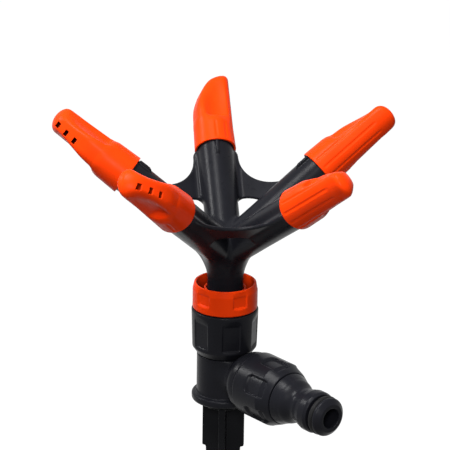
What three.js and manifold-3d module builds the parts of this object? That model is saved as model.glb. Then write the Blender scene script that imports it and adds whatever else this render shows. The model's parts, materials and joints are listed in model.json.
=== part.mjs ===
// A garden sprinkler: a five-arm rotor on a tee with a hose nipple, pushed into the ground on a stake.
// Millimetres, +Z up. The origin is on the rotor's axis, at the stake's shoulder, where the soil comes to.
// +X points out of the hose nipple.
import * as THREE from "three";
import { mergeVertices } from "three/addons/utils/BufferGeometryUtils.js";
import Module from "manifold-3d";

const wasm = await Module();
wasm.setup();

// ---- clearances -------------------------------------------------------------------------------
const gap = 0.3; // between two pieces that touch
const runningGap = 0.35; // round a piece that turns
const overrun = 1; // how far a cutter reaches past the face it opens

// ---- stake ------------------------------------------------------------------------------------
const ribRadius = 8.6; // upper ribs, above the soil
const bladeRadius = 7.1; // ribs in the soil, at the shoulder
const bladeTaper = 1.6; // how much narrower they are where the point begins
const ribThickness = 2.6;
const ribTurn = 45; // degrees round from the branch
const bladeLength = 106;
const pointLength = 38;
const pointRadius = 0.9;
const plugRadius = 8;
const plugDepth = 6; // into the tee's foot

// ---- tee --------------------------------------------------------------------------------------
const footHeight = 21.4; // the flange's underside above the soil
const footRadius = 13.25;
const footThickness = 3.3;
const tubeRadius = 11.25;
const chamberRadius = 6.5;
const chamberFloor = 2;
const branchHeight = 34.5; // axis of the side branch
const branchNeckRadius = 8.2; // where it leaves the tube
const branchRadius = 12.4; // at its rim
const branchRim = 2; // length of the rim
const branchLength = 20;
const branchBore = 5.5;
const branchThreadRadius = 10.4;
const branchThreadLength = 9.7;
const neckThreadRadius = 9.9; // the male thread on top
const neckThreadLength = 8;
const sealSeatRadius = 8; // bore of the neck thread
const sealSeatDepth = 6.3;

// ---- coupling nut -----------------------------------------------------------------------------
const couplingFoot = 42.2;
const couplingHeight = 19.3;
const couplingRadius = 13.65;
const couplingLowRadius = 13.2; // above the bevel
const couplingFootRadius = 11.2;
const couplingBevel = 2.9;
const couplingWeb = 3.4; // the inner flange that the bush sits in
const cupRadius = 11.2;
const gasketThickness = 2;

// ---- grip panels: turn is the first one's place in degrees ------------------------------------
const couplingPanel = { count: 6, width: 7, length: 13, depth: 0.8, turn: 32.5 };
const unionPanel = { count: 6, width: 7.2, length: 11.2, depth: 0.8, turn: 3.5, inset: 1.4 };
const ringPanel = { count: 5, width: 5.9, length: 6.4, depth: 0.6, turn: -11, inset: 1.4 };

// ---- retaining ring ---------------------------------------------------------------------------
const ringHeight = 10.7;
const ringRadius = 13.25;
const ringTopRadius = 12.6;
const ringBevel = 2.6; // height over which it narrows to the rim
const ringWall = 0.85; // at the rim
const ringFootWall = 1.5;
const ringFloor = 2.2;
const collarWall = 1;
const collarDrop = 3.4; // the inner collar stops below the rim
const skirtWall = 1.1;
const skirtLength = 5;

// ---- spindle and its bearing ------------------------------------------------------------------
const spindleRadius = 5.4;
const spindleBore = 3.6;
const spindleLength = 31.6;
const bushWall = 1.5;
const bushFlangeRadius = 9.5;
const bushFlange = 1.5;
const bushTail = 1.4; // below the coupling nut's web
const washerThickness = 1.2;
const washerWidth = 1.9;
const clipGroove = 0.8; // depth
const clipThickness = 1.2;
const clipRadius = 7.2;
const clipMouth = 6;
const sealHeight = 3.2;

// ---- rotor ------------------------------------------------------------------------------------
const armCount = 5;
const armTilt = 35.85; // degrees above level
const firstArm = 2.8; // degrees round from +X
const armMeeting = 85.35; // height at which the arms' axes meet
const neckRadius = 7.3;
const neckFlare = 9.8; // neck radius where it runs into the arms
const hubRadius = 7.4;
const armRadius = 7.1;
const armEndRadius = 7.4;
const armFlareStart = 18;
const armReach = 50.3; // from the meeting point to the nozzle's rim
const armBore = 3.8;
const skirtFit = 3; // how far the arm's end goes into the nozzle's skirt
const spigotRadius = 6;
const spigotLength = 9;
const beadHeight = 0.8;
const beadLength = 1.2;
const webDrop = 3.85; // from the arms' plane down to the web's face
const webThickness = 1.6;
const webArc = 18.3; // radius of the web's outer edge
const webMiddle = 36.8; // the edge's nearest point to the rotor's axis, along the web
const webEar = 8.5; // how far the web's end stands out beside the arm
const holeRim = 3.5; // from the arm's axis to the hole
const holeReach = 28.2; // outer edge of the hole
const holeCorner = 1.8;
const holeArc = 16.4;
const indexRib = { width: 1.3, height: 1.3, length: 6.5 };

// ---- nozzles ----------------------------------------------------------------------------------
const nozzleTurns = [20, -10, 16, 10, 8]; // how far round each cap has been set, degrees
const rimRadius = 8.6;
const rimWall = 0.9;
const collarRadius = 8.25;
const collarLength = 10.3;
const shoulderLength = 2.8;
const nozzleLength = 39;
const crestStart = 16.5;
const crestLevel = 7.7;
const tipLevel = -5; // height of the blade's foremost point
const crestPower = 1.56;
const backLevel = 9.8;
const tipRadius = 6;
const bladeHalfWidth = 7.2;
const bladeTipHalfWidth = 5.8;
const scoop = { along: 17, across: 4.2, deep: 2.8, middle: 22.8, level: 1.1, floor: 4.4 };
const channelRadius = 2.6;
const channelLevel = -3.4;
const channelEnd = 35.3;
const slotPitch = 4.5;
const lastSlot = 34.5;
const slotOffset = -1.3; // to one side of the crest, which drives the rotor round
const slotCount = 3;
const slotSize = { along: 1.2, across: 2.1 };
const fluteRadius = 1.5;
const fluteDepth = 0.45;
const fluteMargin = 1.6;
const shortFlutes = [75, 105, -75, -105]; // degrees round from the crest
const longFlutes = [135, 165, -135, -165];
const longFluteEnd = 30;

// ---- o-rings ----------------------------------------------------------------------------------
const nozzleRing = { section: 1.2, groove: 1.2, width: 1.9, inset: 3.2 };
const adaptorRing = { section: 2.3, groove: 2.4, width: 2.9 };

// ---- hose adaptor and union nut ---------------------------------------------------------------
const unionLength = 20.1;
const unionRadius = 13.3;
const unionFaceRadius = 10.9;
const unionTaper = 5.2; // length of its tapered end
const stemRadius = 9.2;
const snapRadius = 10.1; // flange behind the union nut's end wall
const snapThickness = 2.2;
const discRadius = 10.7; // carries on the union nut's taper
const discLength = 3.5;
const discEndRadius = 9;
const waistAt = 49.5;
const waistRadius = 6.9;
const beadStart = 54;
const beadRadius = 8.4; // the bead that a hose coupling's jaws hold
const beadEnd = 60.4;
const beadEndRadius = 7.9;
const noseRadius = 7.9;
const noseRound = 2.1;
const noseFace = 5.7;
const noseEnd = 66.3;
const adaptorBore = 4.1;

// ---- derived levels along the rotor's axis ----------------------------------------------------
const threadFoot = couplingFoot - gap;
const teeTop = threadFoot + neckThreadLength;
const webFoot = teeTop + gap + gasketThickness + gap;
const webTop = webFoot + couplingWeb;
const couplingTop = couplingFoot + couplingHeight;
const bushFoot = webFoot - bushTail;
const bushBore = spindleRadius + runningGap;
const bushRadius = bushBore + bushWall;
const bushTop = webTop + gap + bushFlange;
const neckFoot = bushTop + gap + washerThickness + gap;
const lowerWasherFoot = bushFoot - gap - washerThickness;
const clipFoot = lowerWasherFoot - gap - clipThickness;
const sealFoot = teeTop - sealSeatDepth + gap;
const spindleFoot = sealFoot - 1.2;
const spindleTop = spindleFoot + spindleLength;
const ringFoot = couplingTop + gap;
const ringTop = ringFoot + ringHeight;
const stakeTop = footHeight - gap;
const stubEnd = branchLength + branchThreadLength;
const snapStart = stubEnd + gap + gasketThickness + gap;
const unionStart = branchLength + gap;
const unionWebStart = snapStart + snapThickness + gap;
const unionEnd = unionStart + unionLength;

const round = 36; // facets round a large piece
const fine = 20; // facets round a small one
const degrees = Math.PI / 180;

// ---- materials --------------------------------------------------------------------------------
const blackPlastic = new THREE.MeshStandardMaterial({ color: 0x17181a, roughness: 0.42 });
const stakePlastic = new THREE.MeshStandardMaterial({ color: 0x141516, roughness: 0.5 });
const orangePlastic = new THREE.MeshStandardMaterial({ color: 0xff4a12, roughness: 0.38 });
const sealRubber = new THREE.MeshStandardMaterial({ color: 0x0c0c0d, roughness: 0.8 });
const whiteAcetal = new THREE.MeshStandardMaterial({ color: 0xe4e2da, roughness: 0.35 });
const springSteel = new THREE.MeshStandardMaterial({ color: 0xb6b8bb, roughness: 0.3, metalness: 1 });

// ---- solids -----------------------------------------------------------------------------------
// A three.js geometry with its seams closed: one vertex wherever several meet.
function sealed(geometry) {
  const bare = geometry.clone();
  bare.deleteAttribute("normal");
  bare.deleteAttribute("uv");
  return mergeVertices(bare, 1e-4);
}

// The same as a solid that can be joined and cut.
function solid(geometry) {
  const closed = sealed(geometry);
  return new wasm.Manifold(
    new wasm.Mesh({
      numProp: 3,
      vertProperties: closed.attributes.position.array,
      triVerts: new Uint32Array(closed.index.array),
    }),
  );
}

function geometryOf(body) {
  const mesh = body.getMesh();
  const geometry = new THREE.BufferGeometry();
  geometry.setAttribute("position", new THREE.BufferAttribute(mesh.vertProperties, 3));
  geometry.setIndex(new THREE.BufferAttribute(mesh.triVerts, 1));
  geometry.computeVertexNormals();
  return geometry;
}

// A turned piece about Z from [radius, height] points, anticlockwise. A profile that leaves the axis
// and returns to it is solid; any other is closed on itself.
function turned(points, facets = round) {
  const profile = points.map(([radius, height]) => new THREE.Vector2(radius, height));
  const onAxis = points[0][0] === 0 && points.at(-1)[0] === 0;
  if (!onAxis) profile.push(profile[0].clone());
  return sealed(new THREE.LatheGeometry(profile, facets)).rotateX(Math.PI / 2);
}

// The same about X: points are [radius, distance along X].
function turnedAlongX(points, facets = round) {
  return turned(points, facets).rotateY(Math.PI / 2);
}

// A plain round bar along X or Z between two places.
function barAlongX(radius, from, to, facets = fine) {
  return turnedAlongX([[0, from], [radius, from], [radius, to], [0, to]], facets);
}

function barAlongZ(radius, from, to, facets = fine) {
  return turned([[0, from], [radius, from], [radius, to], [0, to]], facets);
}

// A flat washer about Z.
function washer(inner, outer, from, to, facets = fine) {
  return turned([[inner, from], [outer, from], [outer, to], [inner, to]], facets);
}

function box(width, depth, height, x, y, z) {
  return new THREE.BoxGeometry(width, depth, height).translate(x, y, z);
}

function torus(inner, section, facets) {
  return sealed(new THREE.TorusGeometry(inner + section / 2, section / 2, 6, facets));
}

function joined(...geometries) {
  return geometries.map(solid).reduce((whole, next) => whole.add(next));
}

function cut(body, ...geometries) {
  return geometries.reduce((whole, cutter) => whole.subtract(solid(cutter)), body);
}

function piece(name, geometry, material) {
  const mesh = new THREE.Mesh(geometry, material);
  mesh.name = name;
  return mesh;
}

// Rectangular pockets round a nut whose axis is Z, round a given height.
function panelCutters(panel, radius, middle) {
  const cutters = [];
  for (let i = 0; i < panel.count; i += 1) {
    const pocket = box(panel.depth * 4, panel.width, panel.length, radius + panel.depth, 0, middle);
    cutters.push(pocket.rotateZ((panel.turn + (i * 360) / panel.count) * degrees));
  }
  return cutters;
}

// ---- stake ------------------------------------------------------------------------------------
function ribBlade(turn) {
  const outline = new THREE.Shape();
  const tip = -bladeLength - pointLength;
  const low = bladeRadius - bladeTaper;
  const right = [
    [pointRadius, tip], [low, -bladeLength], [bladeRadius, 0], [ribRadius, 0], [ribRadius, stakeTop],
  ];
  const left = right.map(([x, y]) => [-x, y]).reverse();
  outline.setFromPoints([...right, ...left].map(([x, y]) => new THREE.Vector2(x, y)));
  const plate = new THREE.ExtrudeGeometry(outline, { depth: ribThickness, bevelEnabled: false });
  return plate.translate(0, 0, -ribThickness / 2).rotateX(Math.PI / 2).rotateZ(turn);
}

function groundStake() {
  const plug = barAlongZ(plugRadius, stakeTop - ribThickness, stakeTop + plugDepth, round);
  const turn = ribTurn * degrees;
  const body = joined(ribBlade(turn), ribBlade(turn + Math.PI / 2), plug);
  return piece("ground_stake", geometryOf(body), stakePlastic);
}

// ---- tee --------------------------------------------------------------------------------------
function teeShell() {
  const flangeTop = footHeight + footThickness;
  const soften = footThickness / 3;
  const upright = turned([
    [0, footHeight], [footRadius - soften, footHeight], [footRadius, footHeight + soften],
    [footRadius, flangeTop - soften], [footRadius - soften, flangeTop], [tubeRadius, flangeTop],
    [tubeRadius, threadFoot], [neckThreadRadius, threadFoot], [neckThreadRadius, teeTop], [0, teeTop],
  ]);
  return joined(upright, branchShell());
}

// The branch flares from its neck on the tube out to its rim, which is as wide as the union nut.
function branchShell() {
  const flareStart = tubeRadius;
  const flareEnd = branchLength - branchRim;
  const steps = 3;
  const flare = [];
  for (let i = 0; i <= steps; i += 1) {
    const t = i / steps;
    const radius = branchNeckRadius + (branchRadius - branchNeckRadius) * Math.sin((t * Math.PI) / 2);
    flare.push([radius, flareStart + (flareEnd - flareStart) * t]);
  }
  const branch = turnedAlongX([
    [0, 0], [branchNeckRadius, 0], ...flare, [branchRadius, branchLength],
    [branchThreadRadius, branchLength], [branchThreadRadius, stubEnd], [0, stubEnd],
  ]);
  return branch.translate(0, 0, branchHeight);
}

function teeBody() {
  const socketTop = stakeTop + plugDepth + gap;
  const chamber = barAlongZ(chamberRadius, socketTop + chamberFloor, teeTop + overrun);
  const sealSeat = barAlongZ(sealSeatRadius, teeTop - sealSeatDepth, teeTop + overrun, round);
  const socket = barAlongZ(plugRadius + gap, footHeight - overrun, socketTop, round);
  const inlet = barAlongX(branchBore, 0, stubEnd + overrun).translate(0, 0, branchHeight);
  const aroundNeck = washer(
    neckThreadRadius, couplingRadius + gap, threadFoot, branchHeight + branchRadius + overrun, round,
  );
  const body = cut(teeShell(), chamber, sealSeat, socket, inlet, aroundNeck);
  return piece("tee_body", geometryOf(body), blackPlastic);
}

// ---- coupling nut and what seals under it -----------------------------------------------------
function couplingNut() {
  const bore = neckThreadRadius + gap;
  const bushHole = bushRadius + gap;
  const edge = 0.5;
  const body = turned([
    [bore, couplingFoot], [couplingFootRadius, couplingFoot],
    [couplingLowRadius, couplingFoot + couplingBevel], [couplingRadius, couplingTop - edge],
    [couplingRadius - edge, couplingTop], [cupRadius, couplingTop], [cupRadius, webTop],
    [bushHole, webTop], [bushHole, webFoot], [bore, webFoot],
  ]);
  const middle = (couplingFoot + couplingBevel + couplingTop) / 2;
  const meanRadius = (couplingLowRadius + couplingRadius) / 2;
  const nut = cut(solid(body), ...panelCutters(couplingPanel, meanRadius, middle));
  return piece("coupling_nut", geometryOf(nut), blackPlastic);
}

function teeGasket() {
  const ring = washer(sealSeatRadius + gap, neckThreadRadius - gap / 2, teeTop + gap, webFoot - gap);
  return piece("tee_gasket", ring, sealRubber);
}

// ---- retaining ring ---------------------------------------------------------------------------
function retainingRing() {
  const collarIn = neckRadius + runningGap;
  const collarOut = collarIn + collarWall;
  const collarTop = ringTop - collarDrop;
  const skirtOut = cupRadius - gap;
  const skirtIn = skirtOut - skirtWall;
  const skirtFoot = ringFoot - skirtLength;
  const floor = ringFoot + ringFloor;
  const body = turned([
    [collarIn, ringFoot], [skirtIn, ringFoot], [skirtIn, skirtFoot], [skirtOut, skirtFoot],
    [skirtOut, ringFoot], [ringRadius, ringFoot], [ringRadius, ringTop - ringBevel],
    [ringTopRadius, ringTop],
    [ringTopRadius - ringWall, ringTop], [ringRadius - ringFootWall, floor], [collarOut, floor],
    [collarOut, collarTop], [collarIn, collarTop],
  ]);
  const middle = ringTop - ringPanel.inset - ringPanel.length / 2;
  const ring = cut(solid(body), ...panelCutters(ringPanel, ringRadius, middle));
  return piece("retaining_ring", geometryOf(ring), orangePlastic);
}

// ---- bearing ----------------------------------------------------------------------------------
function bearingBush() {
  const bush = turned([
    [bushBore, bushFoot], [bushRadius, bushFoot], [bushRadius, webTop + gap],
    [bushFlangeRadius, webTop + gap], [bushFlangeRadius, bushTop], [bushBore, bushTop],
  ]);
  return piece("bearing_bush", bush, whiteAcetal);
}

function thrustWasher(name, foot) {
  const ring = washer(bushBore, bushBore + washerWidth, foot, foot + washerThickness);
  return piece(name, ring, whiteAcetal);
}

function shaftClip() {
  const inner = spindleRadius - clipGroove + gap;
  const disc = washer(inner, clipRadius, clipFoot, clipFoot + clipThickness);
  const mouth = box(clipRadius * 2, clipMouth, clipThickness * 3, clipRadius, 0, clipFoot);
  return piece("shaft_clip", geometryOf(cut(solid(disc), mouth)), springSteel);
}

function spindleSeal() {
  const ring = washer(spindleRadius + gap, sealSeatRadius - gap, sealFoot, sealFoot + sealHeight);
  return piece("spindle_seal", ring, sealRubber);
}

function rotorSpindle() {
  const grooveFoot = clipFoot - gap;
  const grooveTop = clipFoot + clipThickness + gap;
  const grooveRadius = spindleRadius - clipGroove;
  const shaft = turned([
    [spindleBore, spindleFoot], [spindleRadius, spindleFoot], [spindleRadius, grooveFoot],
    [grooveRadius, grooveFoot], [grooveRadius, grooveTop], [spindleRadius, grooveTop],
    [spindleRadius, spindleTop], [spindleBore, spindleTop],
  ]);
  return piece("rotor_spindle", shaft, whiteAcetal);
}

// ---- rotor ------------------------------------------------------------------------------------
// A frame whose X runs out from the arms' meeting point, `azimuth` round and `tilt` up, and whose Z
// is the upward normal.
function radialFrame(azimuth, tilt) {
  const turn = new THREE.Matrix4().makeRotationZ(azimuth);
  const lift = new THREE.Matrix4().makeRotationY(-tilt);
  return new THREE.Matrix4().makeTranslation(0, 0, armMeeting).multiply(turn).multiply(lift);
}

const armStep = 360 / armCount;
const armTiltAngle = armTilt * degrees;
const halfStep = (armStep / 2) * degrees;
const webTilt = Math.atan(Math.tan(armTiltAngle) / Math.cos(halfStep));
const webHalfAngle = Math.acos(
  Math.cos(armTiltAngle) * Math.cos(halfStep) * Math.cos(webTilt) +
    Math.sin(armTiltAngle) * Math.sin(webTilt),
);

function armAzimuth(index) {
  return (firstArm + index * armStep) * degrees;
}

function neckShell() {
  const flareStart = armMeeting - neckFlare + 2;
  const steps = 3;
  const flare = [];
  for (let i = 0; i <= steps; i += 1) {
    const angle = (i / steps) * (Math.PI / 2);
    const radius = neckRadius + (neckFlare - neckRadius) * (1 - Math.cos(angle));
    flare.push([radius, flareStart + (armMeeting - flareStart) * Math.sin(angle)]);
  }
  const crown = [0, armMeeting + neckFlare / 2];
  return turned([[0, neckFoot], [neckRadius, neckFoot], ...flare, crown], fine);
}

function armShell() {
  const shoulder = armReach + skirtFit;
  const spigotEnd = shoulder + spigotLength;
  const grooveStart = shoulder + nozzleRing.inset;
  const grooveEnd = grooveStart + nozzleRing.width;
  const grooveRadius = spigotRadius - nozzleRing.groove;
  const beadStart = spigotEnd - 2 * gap - beadLength;
  const beadRadius = spigotRadius + beadHeight;
  const steps = 2;
  const flare = [];
  for (let i = 0; i <= steps; i += 1) {
    const t = i / steps;
    const radius = armRadius + (armEndRadius - armRadius) * t * t;
    flare.push([radius, armFlareStart + (armReach - armFlareStart) * t]);
  }
  return turnedAlongX([
    [0, 0], [armRadius, 0], ...flare, [armEndRadius, shoulder], [spigotRadius, shoulder],
    [spigotRadius, grooveStart], [grooveRadius, grooveStart], [grooveRadius, grooveEnd],
    [spigotRadius, grooveEnd], [spigotRadius, beadStart], [beadRadius, beadStart + gap],
    [beadRadius, beadStart + beadLength], [spigotRadius, beadStart + beadLength + gap],
    [spigotRadius, spigotEnd], [0, spigotEnd],
  ], fine);
}

// A point in the web's plane, `along` an arm and `beside` it towards the web's middle line.
function besideArm(along, beside, side = 1) {
  const x = along * Math.cos(webHalfAngle) + beside * Math.sin(webHalfAngle);
  const y = along * Math.sin(webHalfAngle) - beside * Math.cos(webHalfAngle);
  return new THREE.Vector2(x, side * y);
}

// The web's outline: out along both arms, with one round bite between them.
function webOutline() {
  const outline = new THREE.Shape();
  const arcCentre = webMiddle + webArc;
  const end = armReach - gap;
  const ear = besideArm(end, webEar);
  const earAngle = Math.atan2(ear.y, ear.x - arcCentre);
  const inside = besideArm(end, webEar / 4);
  outline.moveTo(neckRadius / 2, 0);
  outline.lineTo(inside.x, inside.y);
  outline.absarc(arcCentre, 0, webArc, earAngle, 2 * Math.PI - earAngle, false);
  outline.lineTo(inside.x, -inside.y);
  outline.closePath();
  return outline;
}

// The web's hole: a triangle with round corners and a bulging outer side.
function webHole() {
  const hole = new THREE.Shape();
  const beside = holeRim + holeCorner;
  const sideAngle = Math.PI / 2 + webHalfAngle;
  const inner = beside / Math.sin(webHalfAngle);
  const bulge = holeReach - holeArc;
  const reach = holeArc - holeCorner;
  const start = besideArm(0, beside).sub(new THREE.Vector2(bulge, 0));
  const along = new THREE.Vector2(Math.cos(webHalfAngle), Math.sin(webHalfAngle));
  const b = start.dot(along);
  const outer = besideArm(-b + Math.sqrt(b * b - start.lengthSq() + reach * reach), beside);
  const bulgeAngle = Math.atan2(outer.y, outer.x - bulge);
  hole.absarc(inner, 0, holeCorner, -sideAngle, sideAngle - 2 * Math.PI, true);
  hole.absarc(outer.x, outer.y, holeCorner, sideAngle, bulgeAngle, true);
  hole.absarc(bulge, 0, holeArc, bulgeAngle, -bulgeAngle, true);
  hole.absarc(outer.x, -outer.y, holeCorner, -bulgeAngle, -sideAngle, true);
  return hole;
}

function webPlate(outline, thickness, drop, curveSegments) {
  const settings = { depth: thickness, bevelEnabled: false, curveSegments };
  const plate = new THREE.ExtrudeGeometry(outline, settings);
  return sealed(plate.translate(0, 0, -drop - thickness));
}

function indexRibBox() {
  const end = armReach - gap;
  const top = armEndRadius + indexRib.height;
  const height = 2 * indexRib.height;
  return box(indexRib.length, indexRib.width, height, end - indexRib.length / 2, 0, top - height / 2);
}

function rotorManifold() {
  const hub = new THREE.SphereGeometry(hubRadius, 16, 10).translate(0, 0, armMeeting);
  let body = joined(neckShell(), hub);
  const holes = [];
  const bores = [];
  for (let i = 0; i < armCount; i += 1) {
    const armFrame = radialFrame(armAzimuth(i), armTiltAngle);
    const webFrame = radialFrame(armAzimuth(i) + halfStep, webTilt);
    const web = webPlate(webOutline(), webThickness, webDrop, 6).applyMatrix4(webFrame);
    const hole = webPlate(webHole(), webThickness + overrun, webDrop - overrun / 2, 3);
    const bore = barAlongX(armBore, 0, armReach + skirtFit + spigotLength + overrun, 10);
    body = body.add(solid(armShell().applyMatrix4(armFrame)));
    body = body.add(solid(indexRibBox().applyMatrix4(armFrame)));
    body = body.add(solid(web));
    holes.push(hole.applyMatrix4(webFrame));
    bores.push(bore.applyMatrix4(armFrame));
  }
  const socket = barAlongZ(spindleRadius + gap, neckFoot - overrun, spindleTop + gap);
  const riser = barAlongZ(armBore, spindleTop, armMeeting);
  const manifold = cut(body, ...holes, ...bores, socket, riser);
  return piece("rotor_manifold", geometryOf(manifold), blackPlastic);
}

// ---- nozzles: X runs along the arm from the rim, Y is towards the blade's crest -----------------
function crestHeight(x) {
  const t = Math.max(0, (x - crestStart) / (nozzleLength - crestStart));
  return tipLevel + (crestLevel - tipLevel) * (1 - t ** crestPower) ** (1 / crestPower);
}

function bladeSide() {
  const outline = new THREE.Shape();
  const start = collarLength - shoulderLength;
  const steps = 8;
  outline.moveTo(start, collarRadius);
  outline.lineTo(start, -backLevel);
  outline.absellipse(
    nozzleLength - tipRadius, tipLevel, tipRadius, backLevel + tipLevel, -Math.PI / 2, 0, false, 0,
  );
  for (let i = 1; i <= steps; i += 1) {
    const x = crestStart + (nozzleLength - crestStart) * Math.cos((i / steps) * (Math.PI / 2));
    outline.lineTo(x, crestHeight(x));
  }
  const depth = 2 * collarRadius;
  const plate = new THREE.ExtrudeGeometry(outline, { depth, bevelEnabled: false, curveSegments: 2 });
  return plate.translate(0, 0, -collarRadius);
}

function bladeTop() {
  const outline = new THREE.Shape();
  const start = collarLength - shoulderLength;
  const tipStart = nozzleLength - bladeTipHalfWidth;
  outline.moveTo(start, bladeHalfWidth);
  outline.lineTo(start, -bladeHalfWidth);
  outline.absarc(tipStart, 0, bladeTipHalfWidth, -Math.PI / 2, Math.PI / 2, false);
  const depth = 2 * rimRadius + 2;
  const plate = new THREE.ExtrudeGeometry(outline, { depth, bevelEnabled: false, curveSegments: 5 });
  return plate.translate(0, 0, -depth / 2).rotateX(Math.PI / 2);
}

function scoopCutter(side) {
  const ball = sealed(new THREE.SphereGeometry(1, 12, 6));
  const away = side * (scoop.floor + scoop.deep);
  return ball.scale(scoop.along, scoop.across, scoop.deep).translate(scoop.middle, scoop.level, away);
}

function nozzleCollar() {
  const end = collarLength + shoulderLength;
  return turnedAlongX([
    [0, 0], [rimRadius, 0], [rimRadius, 1], [collarRadius, collarLength],
    [bladeHalfWidth, end - shoulderLength / 4], [bladeHalfWidth - 1, end], [0, end],
  ], fine);
}

// The way the water goes: the skirt over the arm's end, the spigot's bore with a groove for its
// snap bead, and the channel behind the slots.
function nozzleWaterway() {
  const skirt = rimRadius - rimWall;
  const bore = spigotRadius + nozzleRing.section / 4 + gap / 2;
  const shoulder = skirtFit + gap;
  const end = skirtFit + spigotLength + gap;
  const beadEnd = end - 2 * gap;
  const beadStart = beadEnd - beadLength - 2 * gap;
  const beadBore = spigotRadius + beadHeight + gap;
  return turnedAlongX([
    [0, -overrun], [skirt, -overrun], [skirt, shoulder], [bore, shoulder], [bore, beadStart],
    [beadBore, beadStart], [beadBore, beadEnd], [bore, beadEnd], [bore, end], [0, end],
  ], fine);
}

function nozzleSlots() {
  const slots = [];
  for (let i = 0; i < slotCount; i += 1) {
    const x = lastSlot - i * slotPitch;
    const top = crestHeight(x) + 2 * overrun;
    const depth = top - channelLevel;
    const middle = (top + channelLevel) / 2;
    slots.push(box(slotSize.along, depth, slotSize.across, x, middle, slotOffset));
  }
  return slots;
}

function flute(angle, end) {
  const centre = collarRadius + fluteRadius - fluteDepth;
  const groove = barAlongX(fluteRadius, fluteMargin, end, 6);
  return groove.translate(0, centre, 0).rotateX(angle * degrees);
}

function nozzleGeometry() {
  const start = skirtFit + spigotLength;
  const channel = barAlongX(channelRadius, start, channelEnd, 12).translate(0, channelLevel, 0);
  const blade = solid(bladeSide())
    .intersect(solid(bladeTop()))
    .intersect(solid(barAlongX(collarRadius, 0, nozzleLength + overrun)));
  const scooped = cut(blade, scoopCutter(1), scoopCutter(-1));
  const flutes = [
    ...shortFlutes.map((angle) => flute(angle, collarLength)),
    ...longFlutes.map((angle) => flute(angle, longFluteEnd)),
  ];
  const body = scooped.add(solid(nozzleCollar()));
  return geometryOf(cut(body, ...flutes, nozzleWaterway(), channel, ...nozzleSlots()));
}

// One arm's end: its nozzle and the ring that seals it, in the arm's own frame.
function armEnd(index, geometry) {
  const end = new THREE.Group();
  end.position.set(0, 0, armMeeting);
  end.rotation.set(0, -armTiltAngle, armAzimuth(index), "ZYX");
  const nozzle = piece(`nozzle_${index + 1}`, geometry, orangePlastic);
  nozzle.position.x = armReach;
  nozzle.rotation.x = nozzleTurns[index] * degrees;
  const inner = spigotRadius - nozzleRing.groove + gap;
  const seal = torus(inner, nozzleRing.section, 16).rotateY(Math.PI / 2);
  const ring = piece(`nozzle_o_ring_${index + 1}`, seal, sealRubber);
  ring.position.x = armReach + skirtFit + nozzleRing.inset + nozzleRing.width / 2;
  end.add(nozzle, ring);
  return end;
}

// ---- union nut and hose adaptor: X runs out of the branch ---------------------------------------
function unionNut() {
  const bore = branchThreadRadius + gap;
  const hole = stemRadius + gap;
  const edge = 0.8;
  const body = turned([
    [bore, unionStart], [unionRadius - edge, unionStart], [unionRadius, unionStart + edge],
    [unionRadius, unionEnd - unionTaper], [unionFaceRadius, unionEnd], [hole, unionEnd],
    [hole, unionWebStart], [bore, unionWebStart],
  ]);
  const middle = unionEnd - unionPanel.inset - unionPanel.length / 2;
  const nut = cut(solid(body), ...panelCutters(unionPanel, unionRadius, middle));
  const mesh = piece("union_nut", geometryOf(nut), blackPlastic);
  mesh.rotation.y = Math.PI / 2;
  return mesh;
}

// The adaptor's profile: snap flange, stem, disc, waist, bead, groove for its ring, and nose.
function adaptorOutline() {
  const discStart = unionEnd + gap;
  const discEnd = discStart + discLength;
  const edge = 0.6;
  const steps = 4;
  const waist = [];
  for (let i = 0; i <= steps; i += 1) {
    const swell = (1 + Math.cos((i / steps) * Math.PI)) / 2;
    const radius = waistRadius + (discEndRadius - waistRadius) * swell;
    waist.push([radius, discEnd + ((waistAt - discEnd) * i) / steps]);
  }
  const grooveFloor = noseRadius - adaptorRing.groove;
  const grooveEnd = beadEnd + adaptorRing.width;
  const roundMiddle = (noseRadius + noseFace) / 2 + edge;
  return [
    [adaptorBore, snapStart], [snapRadius - edge, snapStart], [snapRadius, snapStart + edge],
    [snapRadius, snapStart + snapThickness], [stemRadius, snapStart + snapThickness],
    [stemRadius, discStart], [discRadius, discStart], ...waist,
    [(waistRadius + beadRadius) / 2, beadStart - edge], [beadRadius, beadStart + edge],
    [beadEndRadius, beadEnd], [grooveFloor, beadEnd], [grooveFloor, grooveEnd],
    [noseRadius, grooveEnd], [noseRadius, noseEnd - noseRound], [roundMiddle, noseEnd - edge],
    [noseFace, noseEnd], [adaptorBore, noseEnd],
  ];
}

function hoseConnection() {
  const branch = new THREE.Group();
  branch.position.z = branchHeight;
  const gasket = turnedAlongX([
    [branchBore + gap, stubEnd + gap], [branchThreadRadius - gap, stubEnd + gap],
    [branchThreadRadius - gap, snapStart - gap], [branchBore + gap, snapStart - gap],
  ]);
  const inner = noseRadius - adaptorRing.groove + gap;
  const ring = piece("adaptor_o_ring", torus(inner, adaptorRing.section, fine), sealRubber);
  ring.rotation.y = Math.PI / 2;
  ring.position.x = beadEnd + adaptorRing.width / 2;
  branch.add(
    unionNut(),
    piece("hose_adaptor", turnedAlongX(adaptorOutline()), blackPlastic),
    piece("adaptor_gasket", gasket, sealRubber),
    ring,
  );
  return branch;
}

// ---- the whole sprinkler ----------------------------------------------------------------------
const base = new THREE.Group();
base.add(
  groundStake(),
  teeBody(),
  teeGasket(),
  couplingNut(),
  bearingBush(),
  thrustWasher("thrust_washer_lower", lowerWasherFoot),
  thrustWasher("thrust_washer_upper", bushTop + gap),
  spindleSeal(),
  retainingRing(),
);

const rotor = new THREE.Group();
rotor.add(rotorManifold(), rotorSpindle(), shaftClip());
const nozzleShape = nozzleGeometry();
for (let i = 0; i < armCount; i += 1) rotor.add(armEnd(i, nozzleShape));

const sprinkler = new THREE.Group();
sprinkler.add(base, rotor, hoseConnection());
export default sprinkler;
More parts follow.
